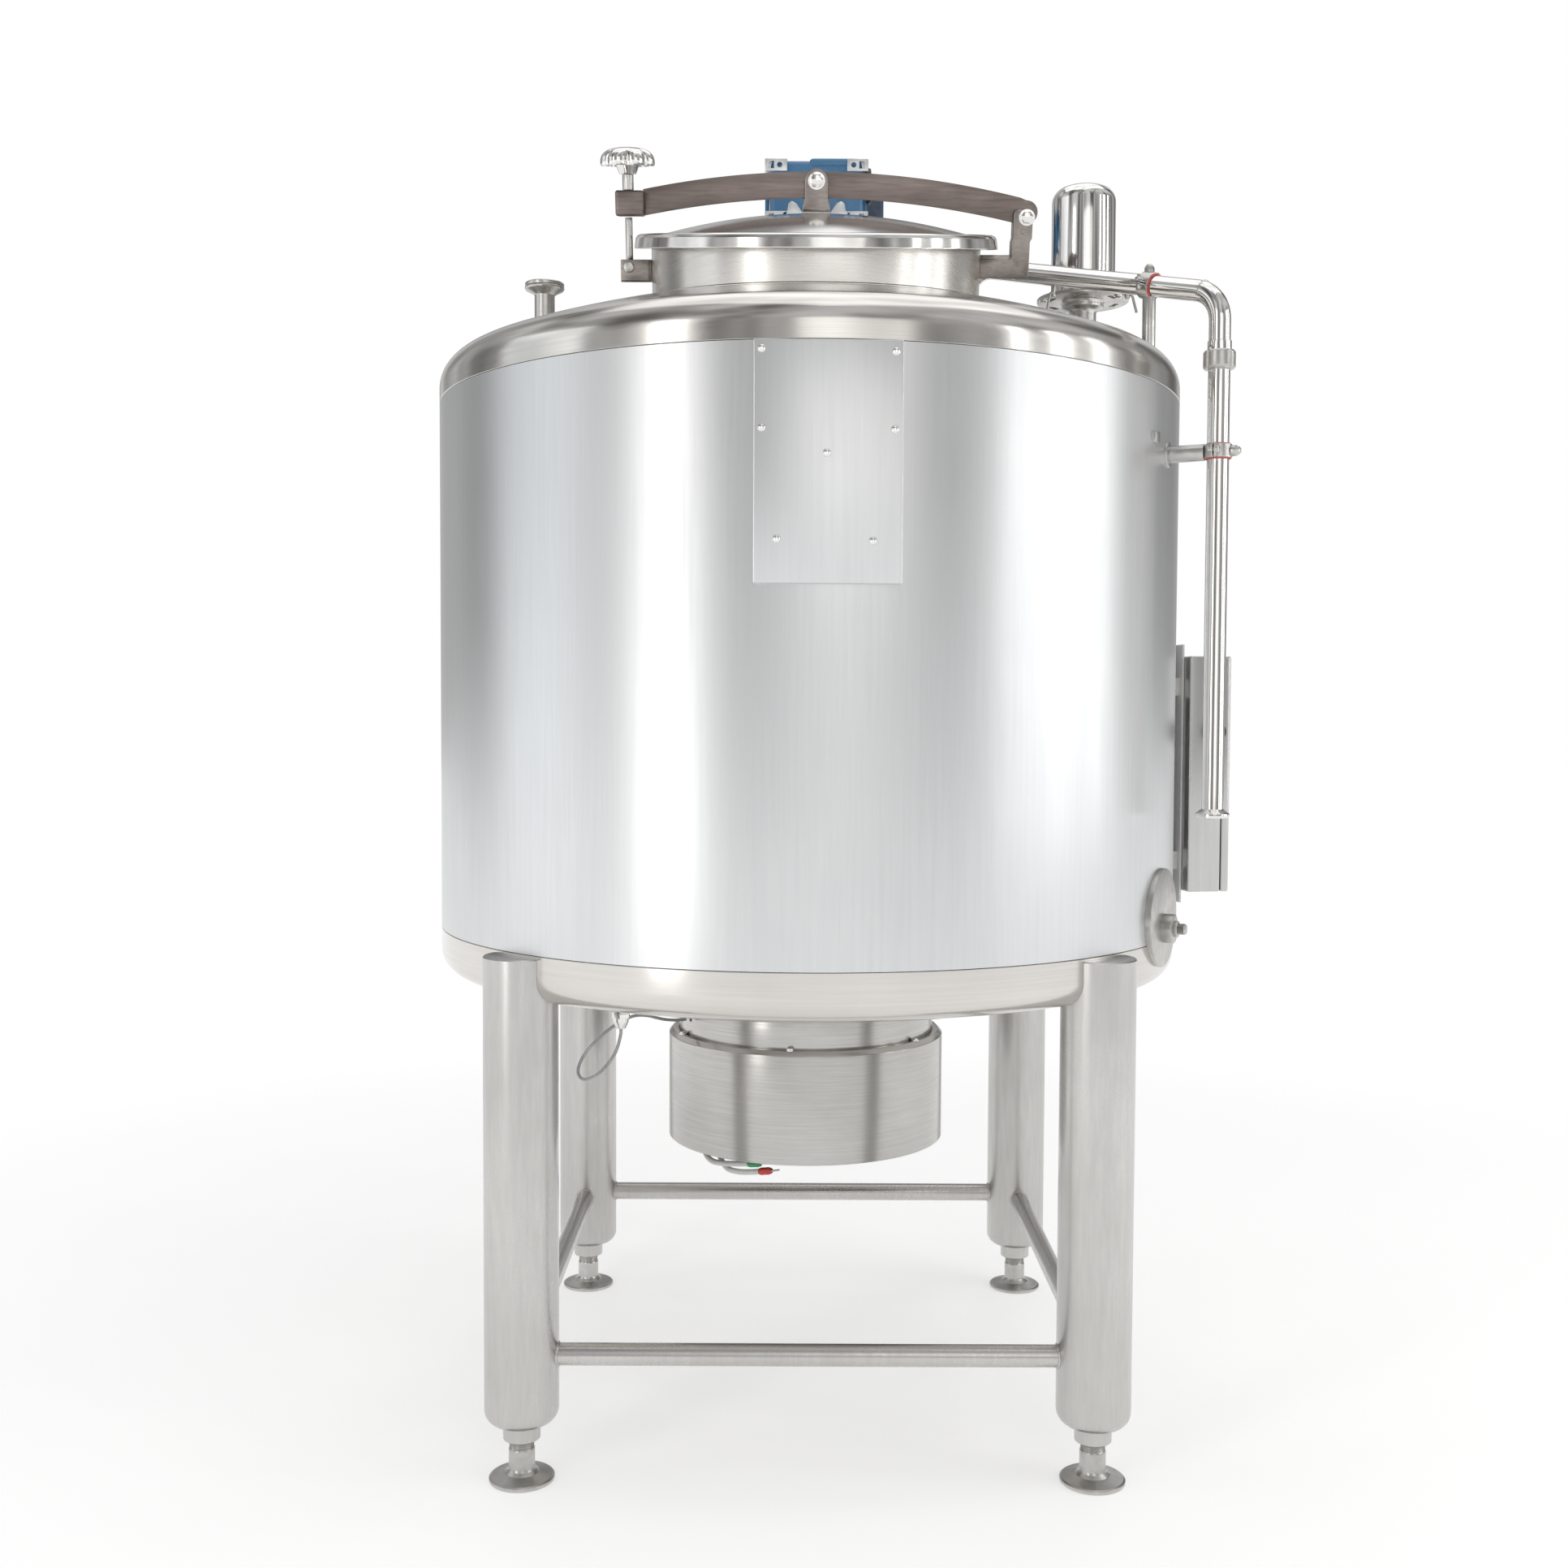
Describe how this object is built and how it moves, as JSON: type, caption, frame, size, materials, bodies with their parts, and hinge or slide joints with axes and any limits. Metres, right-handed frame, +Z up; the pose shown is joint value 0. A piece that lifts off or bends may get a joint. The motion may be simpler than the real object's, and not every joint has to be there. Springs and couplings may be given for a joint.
{
  "type": "bulk milk tank",
  "caption": "Insulated upright steel milk tank on four legs, with a tilted manway, a geared agitator drive, a wash pipe, a side control cabinet and a bottom outlet.",
  "frame": {"origin": "on the floor, under the middle of the whole tank", "axes": "+Z up, -Y towards the cover plate and the low side of the manway, +X towards the control cabinet"},
  "size_m": [1.3014, 1.2096, 2.0928],
  "materials": {
    "shell_steel": "matte, fine vertical grain",
    "polished_steel": "satin to mirror polish",
    "brushed_steel": "brushed",
    "tinted_steel": "heat tinted, brushed",
    "plain_steel": "plain stainless",
    "cabinet_steel": "fine brushed",
    "blue_paint": "satin paint",
    "dark_paint": "satin paint",
    "black_plastic": "matte",
    "green_sleeve": "heat shrink",
    "red_sleeve": "heat shrink",
    "seal": "soft",
    "foam": "rigid foam",
    "braid": "braided",
    "cable_jacket": "matte"
  },
  "bodies": {
    "root": {"outer_shell": "shell_steel", "top_head": "polished_steel", "bottom_head": "polished_steel", "inner_vessel": "plain_steel", "insulation": "foam", "manway_collar": "brushed_steel", "manway_gasket": "seal", "hinge_bracket": "plain_steel", "hinge_bolt": "plain_steel", "bolt_bracket": "plain_steel", "agitator_nozzle": "plain_steel", "drive_stool": "plain_steel", "gearbox": "blue_paint", "motor": "dark_paint", "breather_neck": "plain_steel", "breather_cap": "polished_steel", "inlet_nozzle": "plain_steel", "supply_pipe": "polished_steel", "drop_pipe": "polished_steel", "pipe_post": "plain_steel", "wall_clamp": "plain_steel", "front_plate": "shell_steel", "cabinet_body": "cabinet_steel", "cabinet_mount": "plain_steel", "sample_port": "plain_steel", "shroud": "brushed_steel", "skirt_ring": "brushed_steel", "outlet_pipe": "plain_steel", "valve_body": "polished_steel", "sensor_gland": "plain_steel", "sensor_cable": "braid", "heater_block": "black_plastic", "power_cable_a": "cable_jacket", "power_cable_b": "cable_jacket", "cable_lug_a": "green_sleeve", "cable_lug_b": "red_sleeve", "leg_front_left": "plain_steel", "leg_front_right": "plain_steel", "leg_back_left": "plain_steel", "leg_back_right": "plain_steel", "rail_front": "plain_steel", "rail_back": "plain_steel", "rail_left": "plain_steel", "rail_right": "plain_steel"},
    "bar_arm": {"pressure_bar": "tinted_steel", "lug_bolt": "plain_steel", "clamp_stud": "plain_steel"},
    "lid": {"manway_lid": "polished_steel", "lid_lug": "plain_steel"},
    "clamp_bolt": {"swing_bolt": "plain_steel"},
    "knob_carrier": {"clamp_sleeve": "plain_steel"},
    "knob": {"hand_knob": "polished_steel"},
    "agitator_shaft": {"agitator": "plain_steel"},
    "door": {"cabinet_door": "cabinet_steel"},
    "switch": {"isolator_knob": "black_plastic"},
    "valve": {"valve_spindle": "plain_steel"},
    "foot_front_left": {"foot_front_left": "plain_steel"},
    "foot_front_right": {"foot_front_right": "plain_steel"},
    "foot_back_left": {"foot_back_left": "plain_steel"},
    "foot_back_right": {"foot_back_right": "plain_steel"}
  },
  "joints": [
    {"name": "bar_hinge", "type": "hinge", "parent": "root", "child": "bar_arm", "pos_m": [0.27432, -0.22234, 1.86636], "axis": [0, 0.9659, 0.2588], "range_deg": [0, 100]},
    {"name": "lid_pivot", "type": "hinge", "parent": "bar_arm", "child": "lid", "pos_m": [-0.04368, -0.23554, 1.91562], "axis": [0, 0.9659, 0.2588], "range_deg": [-3, 0]},
    {"name": "bolt_swing", "type": "hinge", "parent": "root", "child": "clamp_bolt", "pos_m": [-0.32818, -0.20319, 1.79488], "axis": [0, -0.9659, -0.2588], "range_deg": [0, 110]},
    {"name": "knob_rise", "type": "slide", "parent": "bar_arm", "child": "knob_carrier", "axis": [0, -0.2588, 0.9659], "range_m": [0, 0.0175]},
    {"name": "knob_spin", "type": "hinge", "parent": "knob_carrier", "child": "knob", "pos_m": [-0.32818, -0.23787, 1.92432], "axis": [0, -0.2588, 0.9659], "range_deg": [0, 3600]},
    {"name": "agitator_turn", "type": "hinge", "parent": "root", "child": "agitator_shaft", "pos_m": [-0.03768, 0.19482, 0], "axis": [0, 0, -1], "continuous": true},
    {"name": "door_hinge", "type": "hinge", "parent": "root", "child": "door", "pos_m": [0.58506, 0.26923, 0], "axis": [0, 0, 1], "range_deg": [0, 120]},
    {"name": "switch_turn", "type": "hinge", "parent": "root", "child": "switch", "pos_m": [0.62041, -0.02916, 1.086], "axis": [0.1736, -0.9848, 0], "range_deg": [0, 90]},
    {"name": "valve_turn", "type": "hinge", "parent": "root", "child": "valve", "pos_m": [-0.05068, 0.33112, 0.48], "axis": [0, 0, 1], "range_deg": [0, 90]},
    {"name": "foot_front_left_slide", "type": "slide", "parent": "root", "child": "foot_front_left", "axis": [0, 0, -1], "range_m": [0, 0.025]},
    {"name": "foot_front_right_slide", "type": "slide", "parent": "root", "child": "foot_front_right", "axis": [0, 0, -1], "range_m": [0, 0.025]},
    {"name": "foot_back_left_slide", "type": "slide", "parent": "root", "child": "foot_back_left", "axis": [0, 0, -1], "range_m": [0, 0.025]},
    {"name": "foot_back_right_slide", "type": "slide", "parent": "root", "child": "foot_back_right", "axis": [0, 0, -1], "range_m": [0, 0.025]}
  ],
  "couplings": [
    {"joint": "lid_pivot", "follows": "bar_hinge", "ratio": -0.03},
    {"joint": "knob_rise", "follows": "knob_spin", "m_per_rad": 0.00027852}
  ]
}
